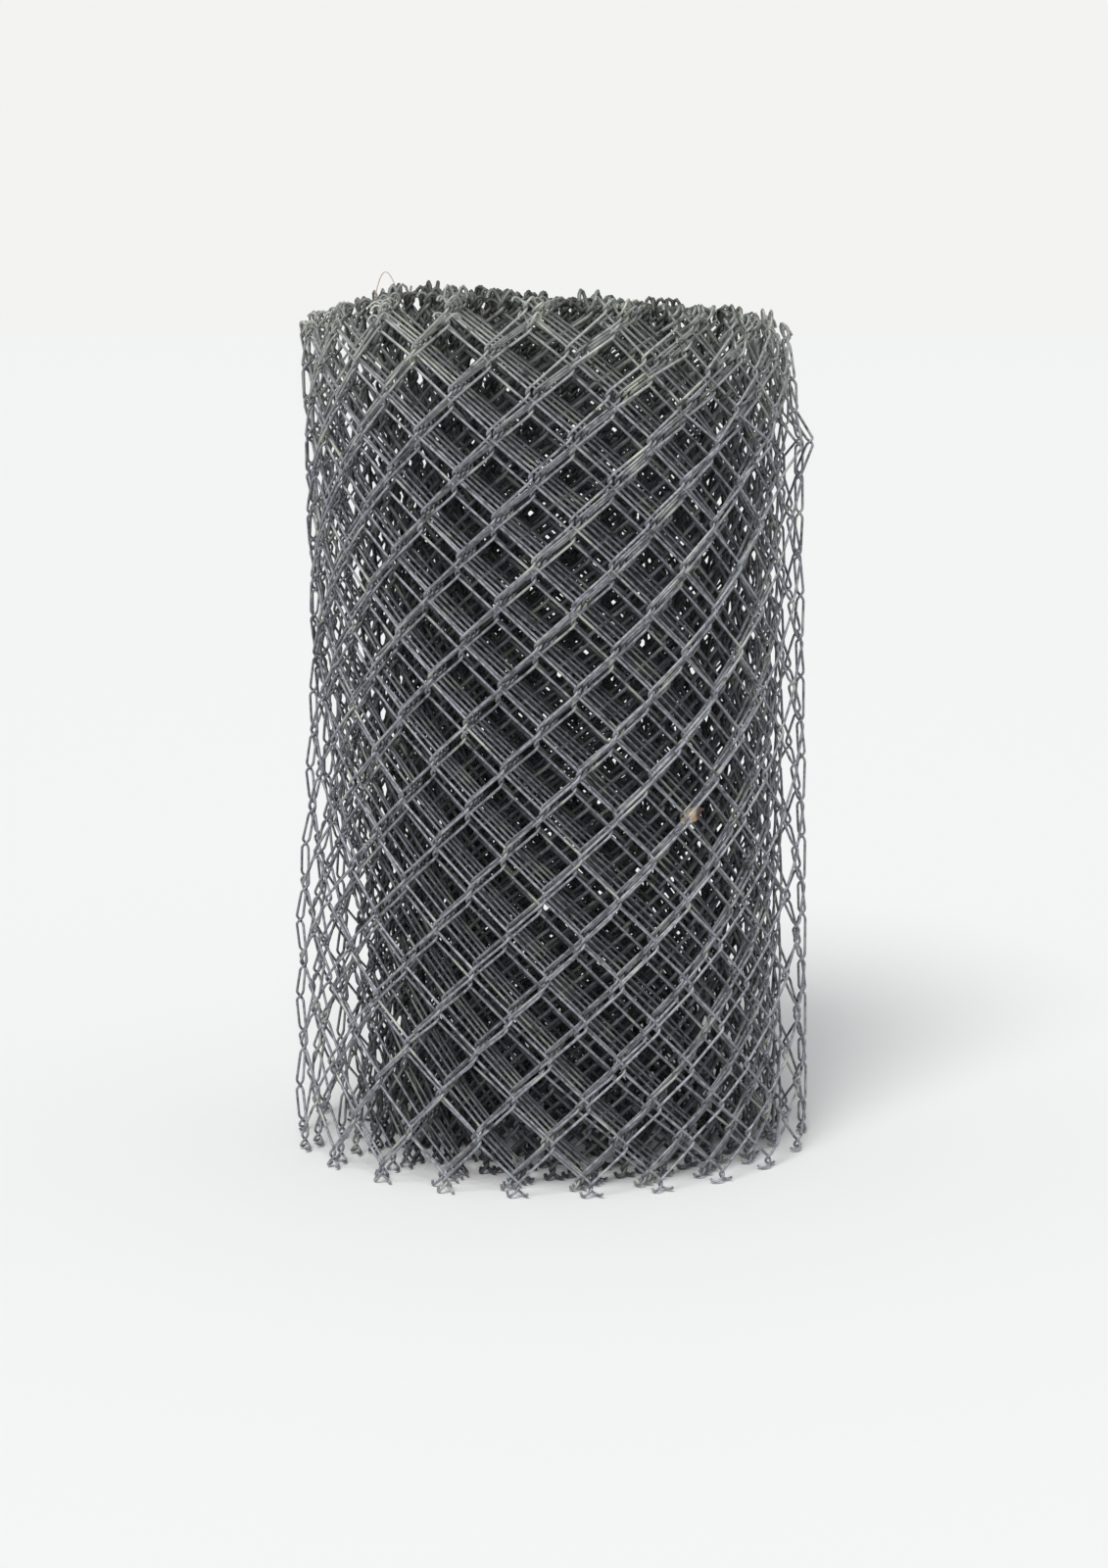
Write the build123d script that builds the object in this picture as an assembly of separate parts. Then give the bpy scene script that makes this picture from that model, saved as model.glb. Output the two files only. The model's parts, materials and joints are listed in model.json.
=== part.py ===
from build123d import *
from math import cos, pi, radians, sin
import os

# Roll of diamond-mesh wire fencing, standing on end.
# The origin is on the axis of the bore, at the bottom end, and +Z runs up the axis.
# The woven sheet is wound outwards from the bore, anticlockwise seen from above.
# It bends only where one wire hooks into the next, so every turn is made of flats one wire wide.
# Its last turn has sprung a little away from the rest and ends in a step as high as the roll.
# Both ends show the turns as a spiral ridge, with the gap between turns as a spiral groove.
# All sizes are in millimetres and angles in degrees.

# Driving dimensions
fence_height = 800.0  # over the bent-over wire ends at both edges of the sheet
bore_diameter = 118.0  # open middle of the roll
turns = 16  # full turns of sheet
sheet_thickness = 8.5  # wire bends, front face to back face
turn_gap = 2.3  # clear space between one turn and the next
loose_end = 6.0  # how much further out the sheet's free edge has sprung
wire_spacing = 33.9  # from one zigzag wire to the next, half the width of a diamond
selvage_depth = 14.0  # bent-over wire ends at each edge of the sheet
free_edge_angle = 45.0  # anticlockwise from +X to the free edge, seen from above

# Sizes that follow
bore_radius = bore_diameter / 2
turn_pitch = sheet_thickness + turn_gap
half_sheet = sheet_thickness / 2


def sheet_radius(turn):
    """Radius to the middle of the sheet after so many turns from its inner edge."""
    sprung = loose_end * max(0, turn - (turns - 1))
    return bore_radius + half_sheet + turn_pitch * turn + sprung


def hinge_turns(first, last):
    """Where the wires hook together, counted in turns from the sheet's inner edge."""
    places = [first]
    while places[-1] < last:
        step = wire_spacing / (2 * pi * sheet_radius(places[-1]))
        places.append(min(places[-1] + step, last))
    return places


def spiral_point(turn, radius):
    """A point at that many turns along the spiral, which ends at the free edge."""
    angle = radians(free_edge_angle) + 2 * pi * (turn - turns)
    return (radius * cos(angle), radius * sin(angle))


def roll_outline():
    """Outer face of the last turn, closed by the step at the free edge."""
    last_turn = hinge_turns(turns - 1, turns)
    outer_face = [spiral_point(turn, sheet_radius(turn) + half_sheet) for turn in last_turn]
    return make_face(Polyline(*outer_face, close=True))


def gap_outline():
    """The gap that follows the sheet from its inner edge out to the free edge."""
    gap_turns = hinge_turns(0, turns - 1)
    inner_wall = [spiral_point(turn, sheet_radius(turn) + half_sheet) for turn in gap_turns]
    outer_wall = [spiral_point(turn, sheet_radius(turn + 1) - half_sheet) for turn in gap_turns]
    return make_face(Polyline(*inner_wall, *reversed(outer_wall), close=True))


def fence_roll():
    """The whole roll: wound body, bore, and the gap between turns sunk into both ends."""
    body = extrude(roll_outline(), fence_height)
    bore = Cylinder(bore_radius, fence_height, align=(Align.CENTER, Align.CENTER, Align.MIN))
    bottom_gap = extrude(gap_outline(), selvage_depth)
    top_gap = Pos(0, 0, fence_height - selvage_depth) * bottom_gap
    return body - bore - bottom_gap - top_gap


os.makedirs("parts", exist_ok=True)
export_step(fence_roll(), "parts/fence_roll.step")
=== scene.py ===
import json
import math
import random

import bmesh
import bpy
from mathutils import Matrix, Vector, noise


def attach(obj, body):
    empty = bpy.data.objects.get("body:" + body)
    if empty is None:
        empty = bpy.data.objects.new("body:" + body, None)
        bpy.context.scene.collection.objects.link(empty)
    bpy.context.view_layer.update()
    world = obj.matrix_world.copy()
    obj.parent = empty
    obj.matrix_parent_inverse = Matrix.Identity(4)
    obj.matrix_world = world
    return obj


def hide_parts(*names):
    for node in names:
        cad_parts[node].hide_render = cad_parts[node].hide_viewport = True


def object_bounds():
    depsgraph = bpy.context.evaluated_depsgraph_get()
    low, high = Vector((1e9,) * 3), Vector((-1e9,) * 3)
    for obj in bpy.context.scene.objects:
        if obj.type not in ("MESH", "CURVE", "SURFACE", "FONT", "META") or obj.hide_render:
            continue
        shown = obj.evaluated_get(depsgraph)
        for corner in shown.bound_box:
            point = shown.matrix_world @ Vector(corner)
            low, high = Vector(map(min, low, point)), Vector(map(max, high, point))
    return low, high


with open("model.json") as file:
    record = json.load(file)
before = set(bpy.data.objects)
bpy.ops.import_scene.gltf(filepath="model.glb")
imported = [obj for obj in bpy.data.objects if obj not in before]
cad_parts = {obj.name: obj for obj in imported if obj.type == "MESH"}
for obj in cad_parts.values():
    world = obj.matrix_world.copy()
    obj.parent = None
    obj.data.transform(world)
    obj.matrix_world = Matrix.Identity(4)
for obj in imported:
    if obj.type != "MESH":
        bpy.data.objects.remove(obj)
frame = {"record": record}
cad_low, cad_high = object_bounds()

# Lengths and heights are in metres, angles in radians, and turns are counted from the sheet's inner
# edge. A pair in brackets is where an even change starts and where it ends.

# The roll's own sizes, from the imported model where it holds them
roll_height = cad_high.z
core_bore = next(mount for mount in frame["record"]["mounts"] if mount["name"] == "core_bore")
bore_radius = core_bore["dims"]["r_mm"] / 1000

# The woven sheet
turns = 16
sheet_thickness = 0.0085
turn_gap = 0.0023
turn_pitch = sheet_thickness + turn_gap
loose_end = 0.006
free_edge_angle = math.radians(45)
edge_to_first_hook = 0.0202
wire_spacing = 0.0339
wire_spacing_in_roll = 0.03383  # the sheet is pulled a hair narrower as it is wound
core_squeeze = 0.015  # and a little narrower still in the core
core_squeeze_fades = (10.2, 11.2)

# One zigzag wire
wire_diameter = 0.0025
wire_radius = wire_diameter / 2
core_wire_radius = 0.0018  # drawn thicker, so that less light shows through the roll
hook_play = 0.0003
bend_radius = (sheet_thickness - wire_diameter) / 2
zigzag_width = wire_spacing + wire_diameter + hook_play
leg_length = zigzag_width - 2 * bend_radius
bend_rise = 0.0098  # a bend climbs more steeply than the legs
hook_rows = 22
row_rise = 0.03645
top_margin = 0.025  # for the wire ends, and for the turns that have risen
top_row = roll_height - top_margin
bottom_row = 0.0102  # every turn stands on its bent-over wire ends
squeezed_height = 0.17  # the rows below this are squeezed or stretched to fit

# The bent-over end of a wire in millimetres, from its last bend: across, through the sheet, and up
KNUCKLE = [
    (-2.0, -0.3, 2.0), (-4.0, 0.6, 3.8), (-5.8, 2.4, 4.3), (-7.0, 4.6, 3.3), (-7.4, 6.2, 1.2),
]
bottom_end_height = 0.7  # as a share of the end at the top

# How much the wire ends differ
top_end_growth = 2.6
bottom_end_growth = 0.2
growth_power = 4  # the higher, the fewer tall ends
reach_spread = 0.5
bow_spread = 0.6
wire_seed = 1000
bottom_end_seed = 5000
top_end_seed = 9000

# How the turns have leaned over and shuffled round
front_angle = -math.pi / 2
lean_per_metre = -0.135
lean_swing = 0.09
inner_lean = 0.07  # the inner turns lean less than the outermost one
inner_lean_pivot = 0.5
inner_turns_end = (turns - 1, turns - 0.4)
lean_shuffle = 0.12
lean_shuffle_seed = 8.2
slip_shuffle = 0.2
slip_shuffle_seed = 1.3
shuffle_pace = 0.9
shuffle_depth = 0.5
shuffle_fades = (8.5, 10.9)

# How far each turn has slipped round
SLIP = [
    (9.9, 0), (10.1, 0), (10.44, 0.030), (10.53, -0.020), (10.71, -0.020), (10.82, -0.045),
    (11.1, 0.012), (11.44, -0.040), (11.53, -0.007), (11.71, -0.007), (11.82, 0.030),
    (12.1, -0.035), (12.44, 0.020), (12.53, -0.013), (12.71, -0.013), (12.82, -0.048),
    (13.1, 0.020), (13.44, -0.050), (13.53, -0.019), (13.71, -0.019), (13.82, 0.012),
    (14.1, -0.045), (14.44, 0.010), (14.53, -0.021), (14.72, -0.021), (14.87, 0.010),
    (15.15, 0.012), (15.4, 0),
]

# How far each turn has risen
LIFT = [
    (0, 0.003), (2, 0.001), (4, 0.004), (6, 0.002), (8, 0.006), (9.6, 0.005), (10.6, 0.007),
    (11.6, 0.005), (12.6, 0.0035), (13.6, 0.002), (14.6, -0.0125), (15.15, -0.006), (15.6, 0),
    (16, 0.001),
]
inner_stretch = -0.004

# How steeply the rows fall to the right, at heights from low to high
ROW_SLOPE = [
    (0, 0), (0.12, 0.085), (0.25, 0.079), (0.4, 0.0645), (0.5, 0.050), (0.6, 0.032), (0.7, 0.012),
    (0.8, -0.008),
]
inner_rim_slope = 0.05  # the inner turns stand higher at the left and lower at the right
inner_rim_drop = 0.004
inner_rim_drops = (0.71, 0.79)

# The top edge has sagged at both sides, and at the right mostly in the outer turns
top_edge = (0.60, 0.79)
right_droop = 0.021
right_droop_across = (0.03, 0.15)
right_droop_turns = (13.8, 14.5)
inner_droop_share = 0.25
far_right_share = 0.6
far_right_across = (0.15, 0.22)
left_droop = 0.020
left_droop_across = (0.11, 0.22)
corner_droop = 0.016
corner_droop_across = (0.19, 0.23)

# The tight turns stand to the right of the loose ones, and a little to the front
core_shift = 0.014
core_shift_angle = -0.4
core_shift_grows = (0, 5)
core_shift_fades = (8, 13)

# How far each turn but the outermost has moved outwards at the left, at heights from low to high
LEFT_SIDE = [
    (0.35, [
        (2, 0), (8, 0.004), (10.4, 0.003), (11.4, -0.001), (12.4, -0.005), (13.4, -0.009),
        (14.4, -0.011),
    ]),
    (0.46, [(2, 0), (10.4, 0.004), (12.4, 0.003), (13.4, 0.001), (14.4, -0.002)]),
    (0.63, [(2, 0), (8, 0.006), (10.4, 0.012), (12.4, 0.011), (13.4, 0.007), (14.4, 0.004)]),
    (0.78, [(2, 0), (8, 0.012), (10.9, 0.017), (12.4, 0.015), (13.4, 0.012), (14.4, 0.008)]),
]

# The same at the right
RIGHT_SIDE = [
    (0.66, [(2, 0), (10.9, 0.002), (11.9, 0.001), (12.9, -0.002), (13.9, -0.006), (14.9, -0.011)]),
    (0.72, [(2, 0), (10.9, 0.009), (11.9, 0.006), (12.9, 0.003), (13.9, -0.002), (14.9, -0.008)]),
    (0.78, [(2, 0), (10.9, 0.013), (11.9, 0.010), (12.9, 0.005), (13.9, 0.000), (14.9, -0.007)]),
]

# What is added to that near the floor, at the left only
LOW_LEFT = [
    (1, 0), (4, -0.004), (7.4, -0.009), (9.4, -0.013), (10.4, -0.014), (11.4, -0.014),
    (12.4, -0.011), (13.4, -0.003), (14.4, 0.012),
]
low_left_share = (0.45, 0.95)  # of the way across from right to left
low_left_fades = (0.20, 0.34)

# How far the outermost turn has moved outwards, at heights from low to high
outermost_begins = (turns - 1.05, turns - 0.65)
OUTER_LEFT = [
    (0, 0.003), (0.2, 0.002), (0.31, -0.007), (0.45, -0.013), (0.6, -0.012), (0.7, -0.008),
    (0.78, -0.0045),
]
OUTER_RIGHT = [
    (0, -0.003), (0.12, -0.003), (0.35, -0.006), (0.45, -0.008), (0.6, -0.0105), (0.63, -0.009),
    (0.665, -0.002), (0.70, -0.014), (0.78, -0.022),
]

# Dents all over: how deep they are, and how fast they change around the roll, upwards and by turns
BROAD_DENTS = (0.0014, 1.9, 4.2, 0.16)
SMALL_DENTS = (0.0012, 4.5, 11, 0.7)


def smooth(value, start, end):
    """0 before start, 1 after end and an even rise between them."""
    share = min(1.0, max(0.0, (value - start) / (end - start)))
    return share * share * (3 - 2 * share)


def between(value, stops):
    """The value that belongs to a place between stops, changing evenly from stop to stop."""
    if value <= stops[0][0]:
        return stops[0][1]
    for (start, low), (end, high) in zip(stops, stops[1:]):
        if value <= end:
            return low + (high - low) * smooth(value, start, end)
    return stops[-1][1]


def spiral_radius(turn):
    """Radius to the middle of the sheet."""
    return bore_radius + sheet_thickness / 2 + turn_pitch * turn


def spiral_angle(turn):
    return free_edge_angle + math.tau * (turn - turns)


def on_spiral(turn):
    """A place in the middle of the evenly wound sheet, whose last turn stands off a little."""
    radius = spiral_radius(turn) + loose_end * max(0.0, turn - (turns - 1))
    return Vector((math.cos(spiral_angle(turn)), math.sin(spiral_angle(turn)), 0)) * radius


def hook_places():
    """Turns at which one wire hooks into the next, from the inner edge to the free edge."""
    places = [turns - edge_to_first_hook / (math.tau * spiral_radius(turns))]
    while places[-1] > 0:
        squeeze = core_squeeze * (1 - smooth(places[-1], *core_squeeze_fades))
        spacing = wire_spacing_in_roll * (1 - squeeze)
        places.append(places[-1] - spacing / (math.tau * spiral_radius(places[-1])))
    return [place for place in reversed(places) if place >= 0]


def side_push(side, height, turn):
    """The outward move at one side, between the heights that its table gives."""
    return between(height, [(level, between(turn, pushes)) for level, pushes in side])


def dent(angle, height, turn, depth, around, upwards, by_turns):
    """How far the sheet bulges at a place."""
    rise = upwards * height + by_turns * turn
    return depth * noise.noise(Vector((around * math.cos(angle), around * math.sin(angle), rise)))


def outward_push(angle, height, turn):
    """How far the wires at a place have moved away from the roll's axis."""
    right_share = (1 + math.cos(angle)) / 2
    left_share = 1 - right_share
    core = right_share * side_push(RIGHT_SIDE, height, turn)
    core += left_share * side_push(LEFT_SIDE, height, turn)
    low_left = smooth(left_share, *low_left_share) * (1 - smooth(height, *low_left_fades))
    core += between(turn, LOW_LEFT) * low_left
    shift = core_shift * math.cos(angle - core_shift_angle)
    core += shift * smooth(turn, *core_shift_grows) * (1 - smooth(turn, *core_shift_fades))
    outer = right_share * between(height, OUTER_RIGHT) + left_share * between(height, OUTER_LEFT)
    outermost = smooth(turn, *outermost_begins)
    push = core * (1 - outermost) + outer * outermost
    for dents in (BROAD_DENTS, SMALL_DENTS):
        push += dent(angle, height, turn, *dents)
    return push


def core_shuffle(turn, seed):
    """A slow change from turn to turn, in the core only, where the turns no longer line up."""
    change = noise.noise(Vector((shuffle_pace * turn, seed, shuffle_depth)))
    return change * (1 - smooth(turn, *shuffle_fades))


def risen(height, turn, inner):
    """The height of a point in a turn that has risen, while its lower end stands on the floor."""
    lift = between(turn, LIFT)
    stretch = 1 + inner_stretch * inner
    lowest_row = top_row - (hook_rows - 1) * row_rise
    to_floor = bottom_row - lowest_row * stretch - lift
    return height * stretch + lift + to_floor * (1 - smooth(height, 0, squeezed_height))


def slipped(angle, height, turn, inner):
    """The angle of a point in a turn that has leaned over and slipped round."""
    lean = lean_per_metre + lean_swing * math.sin(2 * (angle - front_angle))
    lean += lean_shuffle * core_shuffle(turn, lean_shuffle_seed)
    angle += lean * (height - roll_height / 2) + inner_lean * inner * (height - inner_lean_pivot)
    angle += between(turn, SLIP) + slip_shuffle * core_shuffle(turn, slip_shuffle_seed)
    return angle


def sagged(x, height, turn, inner):
    """The height of a point where the rows slope and the top edge has sagged."""
    near_top = smooth(height, *top_edge)
    height -= x * (between(height, ROW_SLOPE) + inner_rim_slope * inner * near_top)
    height -= inner_rim_drop * inner * smooth(height, *inner_rim_drops)
    turn_share = inner_droop_share + (1 - inner_droop_share) * smooth(turn, *right_droop_turns)
    right_share = smooth(x, *right_droop_across) * turn_share
    right_share += far_right_share * smooth(x, *far_right_across)
    left_share = smooth(-x, *left_droop_across)
    height -= near_top * (right_droop * min(1.0, right_share) + left_droop * left_share)
    height -= corner_droop * near_top * smooth(x, *corner_droop_across)
    return height


def settled(point, turn):
    """Where a point of the evenly wound sheet lies in the roll as it stands."""
    angle = math.atan2(point.y, point.x)
    radius = math.hypot(point.x, point.y) + outward_push(angle, point.z, turn)
    inner = 1 - smooth(turn, *inner_turns_end)
    height = risen(point.z, turn, inner)
    angle = slipped(angle, height, turn, inner)
    x = radius * math.cos(angle)
    y = radius * math.sin(angle)
    return Vector((x, y, sagged(x, height, turn, inner)))


def bend_points(side, height, segments):
    """One bend, from the outer face to the inner one on the right, and back out on the left."""
    points = []
    for step in range(segments + 1):
        share = step / segments
        across = leg_length / 2 + bend_radius * math.sin(math.pi * share)
        through = bend_radius * math.cos(math.pi * share)
        points.append(Vector((side * across, side * through, height + bend_rise * (share - 0.5))))
    return points


def knuckle_points(last, side, upwards, pair, draw):
    """The wire end that follows the last bend. Two hooked ends stand up alike and then part."""
    growth = top_end_growth if upwards > 0 else bottom_end_growth
    tall = 1 + growth * pair.random() ** growth_power
    reach = 1 + reach_spread * (draw.random() - 0.5)
    bow = 1 + bow_spread * (draw.random() - 0.5)
    points = []
    for across, through, up in KNUCKLE:
        offset = Vector((side * across * reach, side * through * bow, upwards * up * tall)) / 1000
        points.append(last + offset)
    return points


def zigzag_path(number, right_first, segments):
    """The middle line of one whole wire in its own flat frame: across, through the sheet, up."""
    draw = random.Random(wire_seed + number)
    path = []
    for row in range(hook_rows):
        side = 1 if (row % 2 == 0) == right_first else -1
        path += bend_points(side, top_row - (hook_rows - 1 - row) * row_rise, segments)
    bottom_side = 1 if right_first else -1
    bottom_pair = random.Random(bottom_end_seed + number + (bottom_side > 0))
    top_pair = random.Random(top_end_seed + number + (bottom_side < 0))
    bottom = knuckle_points(path[0], bottom_side, -bottom_end_height, bottom_pair, draw)
    mirrored = [Vector((point.x, 2 * path[0].y - point.y, point.z)) for point in bottom]
    top = knuckle_points(path[-1], -bottom_side, 1, top_pair, draw)
    return list(reversed(mirrored)) + path + top


def wound_wire(path, start, end):
    """A wire's path placed between two neighbouring hooks of the roll and settled there."""
    first = on_spiral(start)
    second = on_spiral(end)
    middle = (first + second) / 2
    along = (second - first).normalized()
    outward = Vector((along.y, -along.x, 0))
    points = []
    for point in path:
        place = middle + along * point.x + outward * point.y
        place.z = point.z
        turn = start + (end - start) * (0.5 + point.x / wire_spacing_in_roll)
        points.append(settled(place, turn))
    return points


def tubes(name, paths, radius, sides):
    """One mesh of round wires along the given paths, with closed ends."""
    curve = bpy.data.curves.new(name, "CURVE")
    curve.dimensions = "3D"
    curve.bevel_depth = radius
    # A round bevel has 4 sides, and 2 more for each step of its resolution
    curve.bevel_resolution = sides // 2 - 2
    curve.use_fill_caps = True
    for path in paths:
        spline = curve.splines.new("POLY")
        spline.points.add(len(path) - 1)
        for point, place in zip(spline.points, path):
            point.co = (place.x, place.y, place.z, 1)
    holder = bpy.data.objects.new(name + "_route", curve)
    mesh = bpy.data.meshes.new_from_object(holder)
    mesh.name = name
    bpy.data.objects.remove(holder)
    bpy.data.curves.remove(curve)
    mesh.materials.clear()
    piece = bpy.data.objects.new(name, mesh)
    bpy.context.collection.objects.link(piece)
    return piece


def sheet_part(name, first_turn, last_turn, segments, sides, radius):
    """The wires of some turns of the sheet, as one piece."""
    places = hook_places()
    paths = []
    for number, (start, end) in enumerate(zip(places, places[1:])):
        if first_turn <= start < last_turn:
            path = zigzag_path(number, (len(places) - 1 - number) % 2 == 0, segments)
            paths.append(wound_wire(path, start, end))
    piece = tubes(name, paths, radius, sides)
    piece.data.materials.append(wire_finish)
    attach(piece, "root")
    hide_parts("fence_roll")


# Materials

def new_group(name, inputs, outputs):
    group = bpy.data.node_groups.new(name, "ShaderNodeTree")
    for label, kind, value in inputs:
        socket = group.interface.new_socket(label, in_out="INPUT", socket_type=kind)
        socket.default_value = value
    for label, kind in outputs:
        group.interface.new_socket(label, in_out="OUTPUT", socket_type=kind)
    return group, group.nodes.new("NodeGroupInput"), group.nodes.new("NodeGroupOutput")


def add_noise(tree, vector, scale, detail):
    node = tree.nodes.new("ShaderNodeTexNoise")
    node.inputs["Scale"].default_value = scale
    node.inputs["Detail"].default_value = detail
    tree.links.new(vector, node.inputs["Vector"])
    return node.outputs["Fac"]


def add_range(tree, value, low, high):
    node = tree.nodes.new("ShaderNodeMapRange")
    node.interpolation_type = "SMOOTHSTEP"
    node.inputs["From Min"].default_value = low
    node.inputs["From Max"].default_value = high
    tree.links.new(value, node.inputs["Value"])
    return node.outputs["Result"]


def add_mix(tree, factor, first, second):
    node = tree.nodes.new("ShaderNodeMix")
    node.data_type = "RGBA"
    tree.links.new(factor, node.inputs["Factor"])
    for socket, value in ((node.inputs["A"], first), (node.inputs["B"], second)):
        if isinstance(value, bpy.types.NodeSocket):
            tree.links.new(value, socket)
        else:
            socket.default_value = value
    return node.outputs["Result"]


# Painted top light, in the colour of white bloom, grows over these heights, and the painted shade
# of the core fades out over these radii
painted_top_light_grows = (0.62, 0.80)
painted_top_light = 0.45
painted_core_shade_fades = (0.150, 0.230)
least_rough = 0.38
most_rough = 0.66


def zinc_weathering():
    """Dulled zinc coat: spangle, white bloom, dark grime and a fine uneven surface, with painted
    light at the top and painted shade in the core.
    """
    group, given, made = new_group(
        "zinc weathering",
        [
            ("Bright Zinc", "NodeSocketColor", (0.4, 0.42, 0.43, 1)),
            ("Dull Zinc", "NodeSocketColor", (0.2, 0.21, 0.22, 1)),
            ("Bloom And Top Light", "NodeSocketColor", (0.5, 0.53, 0.5, 1)),
            ("Grime", "NodeSocketColor", (0.06, 0.06, 0.055, 1)),
            ("Painted Core Shade", "NodeSocketFloat", 0.2),
        ],
        [("Color", "NodeSocketColor"), ("Rough", "NodeSocketFloat"), ("Relief", "NodeSocketFloat")],
    )
    spot = group.nodes.new("ShaderNodeTexCoord").outputs["Object"]
    spangle = add_range(group, add_noise(group, spot, scale=210, detail=3), low=0.36, high=0.64)
    patches = add_range(group, add_noise(group, spot, scale=34, detail=3), low=0.52, high=0.72)
    soiled = add_range(group, add_noise(group, spot, scale=75, detail=4), low=0.56, high=0.74)
    split = group.nodes.new("ShaderNodeSeparateXYZ")
    group.links.new(spot, split.inputs["Vector"])
    near_top = add_range(group, split.outputs["Z"], *painted_top_light_grows)
    # White bloom in patches, and more of its pale colour near the top edge, which is painted light
    # from above
    bloom_and_top_light = group.nodes.new("ShaderNodeMath")
    bloom_and_top_light.operation = "MULTIPLY_ADD"
    bloom_and_top_light.use_clamp = True
    bloom_and_top_light.inputs[1].default_value = painted_top_light
    group.links.new(near_top, bloom_and_top_light.inputs[0])
    group.links.new(patches, bloom_and_top_light.inputs[2])
    coat = add_mix(group, spangle, given.outputs["Dull Zinc"], given.outputs["Bright Zinc"])
    bloomed = add_mix(group, bloom_and_top_light.outputs["Value"], coat, given.outputs["Bloom And Top Light"])
    coloured = add_mix(group, soiled, bloomed, given.outputs["Grime"])
    # Painted shade: the turns darken towards the core
    level = group.nodes.new("ShaderNodeVectorMath")
    level.operation = "MULTIPLY"
    level.inputs[1].default_value = (1, 1, 0)
    group.links.new(spot, level.inputs[0])
    from_axis = group.nodes.new("ShaderNodeVectorMath")
    from_axis.operation = "LENGTH"
    group.links.new(level.outputs["Vector"], from_axis.inputs[0])
    painted_shade = group.nodes.new("ShaderNodeMapRange")
    painted_shade.interpolation_type = "SMOOTHSTEP"
    painted_shade.inputs["From Min"].default_value = painted_core_shade_fades[0]
    painted_shade.inputs["From Max"].default_value = painted_core_shade_fades[1]
    group.links.new(from_axis.outputs["Value"], painted_shade.inputs["Value"])
    group.links.new(given.outputs["Painted Core Shade"], painted_shade.inputs["To Min"])
    shaded_colour = group.nodes.new("ShaderNodeVectorMath")
    shaded_colour.operation = "SCALE"
    group.links.new(coloured, shaded_colour.inputs["Vector"])
    group.links.new(painted_shade.outputs["Result"], shaded_colour.inputs["Scale"])
    group.links.new(shaded_colour.outputs["Vector"], made.inputs["Color"])
    rough = group.nodes.new("ShaderNodeMapRange")
    rough.inputs["To Min"].default_value = least_rough
    rough.inputs["To Max"].default_value = most_rough
    group.links.new(add_noise(group, spot, scale=120, detail=3), rough.inputs["Value"])
    group.links.new(rough.outputs["Result"], made.inputs["Rough"])
    group.links.new(add_noise(group, spot, scale=900, detail=2), made.inputs["Relief"])
    return group


def zinc_wire(name, colours, painted_core_shade, metallic):
    """A zinc-coated wire finish."""
    material = bpy.data.materials.new(name)
    material.use_nodes = True
    tree = material.node_tree
    shader = tree.nodes["Principled BSDF"]
    shader.inputs["Metallic"].default_value = metallic
    shader.inputs["Specular IOR Level"].default_value = 0.3
    coat = tree.nodes.new("ShaderNodeGroup")
    coat.node_tree = zinc_weathering()
    for label, colour in colours.items():
        coat.inputs[label].default_value = (*colour, 1)
    coat.inputs["Painted Core Shade"].default_value = painted_core_shade
    bump = tree.nodes.new("ShaderNodeBump")
    bump.inputs["Strength"].default_value = 0.25
    bump.inputs["Distance"].default_value = 0.0004
    tree.links.new(coat.outputs["Relief"], bump.inputs["Height"])
    tree.links.new(bump.outputs["Normal"], shader.inputs["Normal"])
    tree.links.new(coat.outputs["Color"], shader.inputs["Base Color"])
    tree.links.new(coat.outputs["Rough"], shader.inputs["Roughness"])
    return material


def plain_finish(name, colour, rough):
    material = bpy.data.materials.new(name)
    material.use_nodes = True
    shader = material.node_tree.nodes["Principled BSDF"]
    shader.inputs["Base Color"].default_value = (*colour, 1)
    shader.inputs["Roughness"].default_value = rough
    return material


wire_colours = {
    "Bright Zinc": (0.317, 0.33, 0.362),
    "Dull Zinc": (0.174, 0.18, 0.199),
    "Bloom And Top Light": (0.435, 0.45, 0.385),
    "Grime": (0.06, 0.06, 0.057),
}
# In the core the wires keep a quarter of their colour: painted shade
wire_finish = zinc_wire("weathered_zinc_wire", wire_colours, painted_core_shade=0.25, metallic=0.4)

# The sheet, from its inner edge to its free edge. Wires deep in the roll have fewer faces.
for name, first_turn, last_turn, segments, sides, radius in (
    ("sheet_core_turns", 0, 7, 3, 6, core_wire_radius),
    ("sheet_middle_turns", 7, 10.5, 4, 6, core_wire_radius),
    ("sheet_inner_turns", 10.5, turns - 2, 4, 6, wire_radius),
    ("sheet_second_turn", turns - 2, turns - 1, 6, 8, wire_radius),
    ("sheet_outer_turn", turns - 1, turns, 6, 8, wire_radius),
):
    sheet_part(name, first_turn, last_turn, segments, sides, radius)

# A scrap of dry leaf caught behind the front wires
leaf_spot = Vector((0.1250, -0.1803, 0.331))
leaf_width = 0.021
leaf_height = 0.011
leaf_thickness = 0.0004
leaf_tilt = 0.25
leaf_ragged = 0.5
leaf_notches = 3
leaf_notch_seed = 4.4
leaf_crumple = 0.004
leaf_folds = 190
leaf_fold_seed = 1.7
leaf_light = (0.52, 0.41, 0.30, 1)
leaf_brown = (0.36, 0.26, 0.17, 1)
leaf_dark = (0.09, 0.055, 0.035, 1)
leaf_darkens = (leaf_spot.x + 0.001, leaf_spot.x + 0.005)

# A dry stem in the top edge
stem_foot = Vector((-0.158, -0.10, 0.770))
stem_tip = Vector((-0.133, -0.11, 0.782))
stem_radius = 0.0004
stem_arch = 0.031
stem_arch_power = 0.8  # below 1 the arch is steeper at the foot
stem_steps = 12


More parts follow.
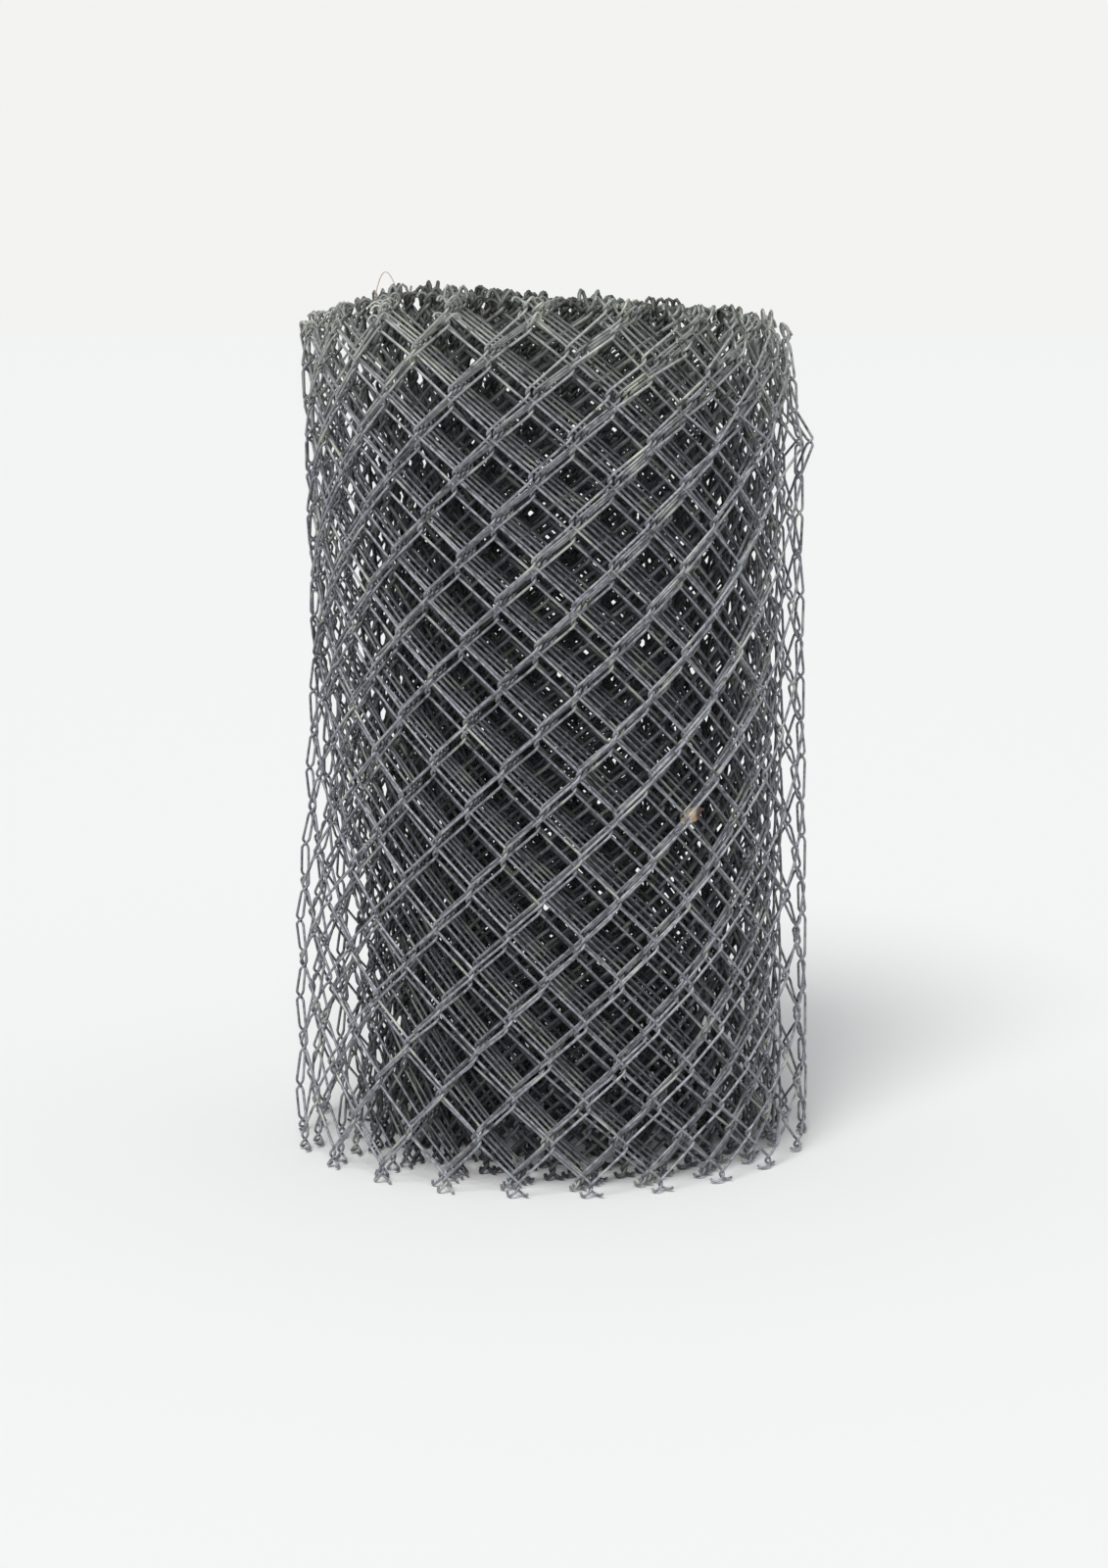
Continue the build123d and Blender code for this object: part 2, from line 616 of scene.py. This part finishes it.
def leaf_finish():
    """Dry brown leaf, darker towards one side."""
    material = bpy.data.materials.new("dry_leaf")
    material.use_nodes = True
    tree = material.node_tree
    shader = tree.nodes["Principled BSDF"]
    shader.inputs["Roughness"].default_value = 0.8
    spot = tree.nodes.new("ShaderNodeTexCoord").outputs["Object"]
    split = tree.nodes.new("ShaderNodeSeparateXYZ")
    tree.links.new(spot, split.inputs["Vector"])
    dark_side = add_range(tree, split.outputs["X"], *leaf_darkens)
    mottled = add_mix(tree, add_noise(tree, spot, scale=260, detail=4), leaf_brown, leaf_light)
    tree.links.new(add_mix(tree, dark_side, mottled, leaf_dark), shader.inputs["Base Color"])
    return material


def caught_leaf():
    """A crumpled scrap, lying against the inside of the sheet."""
    shape = bmesh.new()
    bmesh.ops.create_grid(shape, x_segments=14, y_segments=9, size=1)
    outward = Vector((leaf_spot.x, leaf_spot.y, 0)).normalized()
    along = Vector((-outward.y, outward.x, 0))
    for vertex in shape.verts:
        notch = Vector((leaf_notches * vertex.co.x, leaf_notches * vertex.co.y, leaf_notch_seed))
        ragged = 1 + leaf_ragged * noise.noise(notch)
        across = vertex.co.x * leaf_width / 2
        up = vertex.co.y * leaf_height / 2
        fold = Vector((leaf_folds * across, leaf_folds * up, leaf_fold_seed))
        crumple = leaf_crumple * noise.noise(fold)
        vertex.co = leaf_spot + along * across * ragged + outward * crumple
        vertex.co.z += up * ragged + leaf_tilt * across
    bmesh.ops.solidify(shape, geom=shape.faces[:], thickness=leaf_thickness)
    bmesh.ops.recalc_face_normals(shape, faces=shape.faces[:])
    mesh = bpy.data.meshes.new("caught_dry_leaf")
    shape.to_mesh(mesh)
    shape.free()
    leaf = bpy.data.objects.new("caught_dry_leaf", mesh)
    bpy.context.collection.objects.link(leaf)
    return leaf


def dry_stem():
    """A thin stem that arches up out of the turns at the left."""
    path = []
    for step in range(stem_steps + 1):
        share = step / stem_steps
        point = stem_foot.lerp(stem_tip, share)
        point.z += stem_arch * math.sin(math.pi * share ** stem_arch_power)
        path.append(point)
    return tubes("dry_stem", [path], stem_radius, sides=6)


dry_brown = leaf_finish()
for scrap in (caught_leaf(), dry_stem()):
    scrap.data.materials.append(dry_brown)
    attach(scrap, "root")
    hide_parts("fence_roll")

# Floor and light
floor_reach = 60
floor_colour = (0.86, 0.86, 0.85)
room_colour = (0.95, 0.97, 1.0, 1)
backdrop_colour = (1.0, 1.0, 0.99, 1)


def studio_floor():
    mesh = bpy.data.meshes.new("studio_floor")
    shape = bmesh.new()
    bmesh.ops.create_grid(shape, x_segments=1, y_segments=1, size=floor_reach)
    shape.to_mesh(mesh)
    shape.free()
    floor = bpy.data.objects.new("studio_floor", mesh)
    floor.data.materials.append(plain_finish("pale_floor", floor_colour, rough=0.8))
    bpy.context.collection.objects.link(floor)


def studio_light(strength, backdrop):
    """An even pale room. Seen directly it is as bright as the floor."""
    world = bpy.data.worlds.new("pale_studio")
    world.use_nodes = True
    tree = world.node_tree
    background = tree.nodes["Background"]
    background.inputs["Color"].default_value = room_colour
    background.inputs["Strength"].default_value = strength
    seen = tree.nodes.new("ShaderNodeBackground")
    seen.inputs["Color"].default_value = backdrop_colour
    seen.inputs["Strength"].default_value = backdrop
    choice = tree.nodes.new("ShaderNodeMixShader")
    seen_directly = tree.nodes.new("ShaderNodeLightPath").outputs["Is Camera Ray"]
    tree.links.new(seen_directly, choice.inputs["Fac"])
    tree.links.new(background.outputs["Background"], choice.inputs[1])
    tree.links.new(seen.outputs["Background"], choice.inputs[2])
    tree.links.new(choice.outputs["Shader"], tree.nodes["World Output"].inputs["Surface"])
    bpy.context.scene.world = world


def add_sun(name, strength, spread, azimuth, elevation):
    """A soft light from afar, in degrees. Azimuth is counted from the camera to the right."""
    light = bpy.data.lights.new(name, "SUN")
    light.energy = strength
    light.angle = math.radians(spread)
    lamp = bpy.data.objects.new(name, light)
    towards = Vector((
        math.sin(math.radians(azimuth)) * math.cos(math.radians(elevation)),
        -math.cos(math.radians(azimuth)) * math.cos(math.radians(elevation)),
        math.sin(math.radians(elevation)),
    ))
    lamp.rotation_euler = towards.to_track_quat("Z", "Y").to_euler()
    bpy.context.collection.objects.link(lamp)


# The photograph is 1600 pixels high. Its optical axis passes above the middle of the page.
page_height = 1600
focal_pixels = 3537
optical_axis_row = 669
sensor_width = 36
view_reach = 200
camera_distance = 3.2
camera_height = 0.7891
camera_pitch = math.radians(6)
camera_side = 0.0032


def photo_camera():
    data = bpy.data.cameras.new("photo_camera")
    data.sensor_width = sensor_width
    data.lens = focal_pixels / page_height * sensor_width
    data.shift_y = (optical_axis_row - page_height / 2) / page_height
    data.clip_end = view_reach
    camera = bpy.data.objects.new("photo_camera", data)
    camera.location = (camera_side, -camera_distance, camera_height)
    camera.rotation_euler = (math.radians(90) - camera_pitch, 0, 0)
    bpy.context.collection.objects.link(camera)
    bpy.context.scene.camera = camera


studio_floor()
studio_light(strength=0.42, backdrop=0.895)
add_sun("front_softbox", strength=2.9, spread=30, azimuth=-14, elevation=48)
bpy.context.scene.view_settings.view_transform = "Standard"
photo_camera()
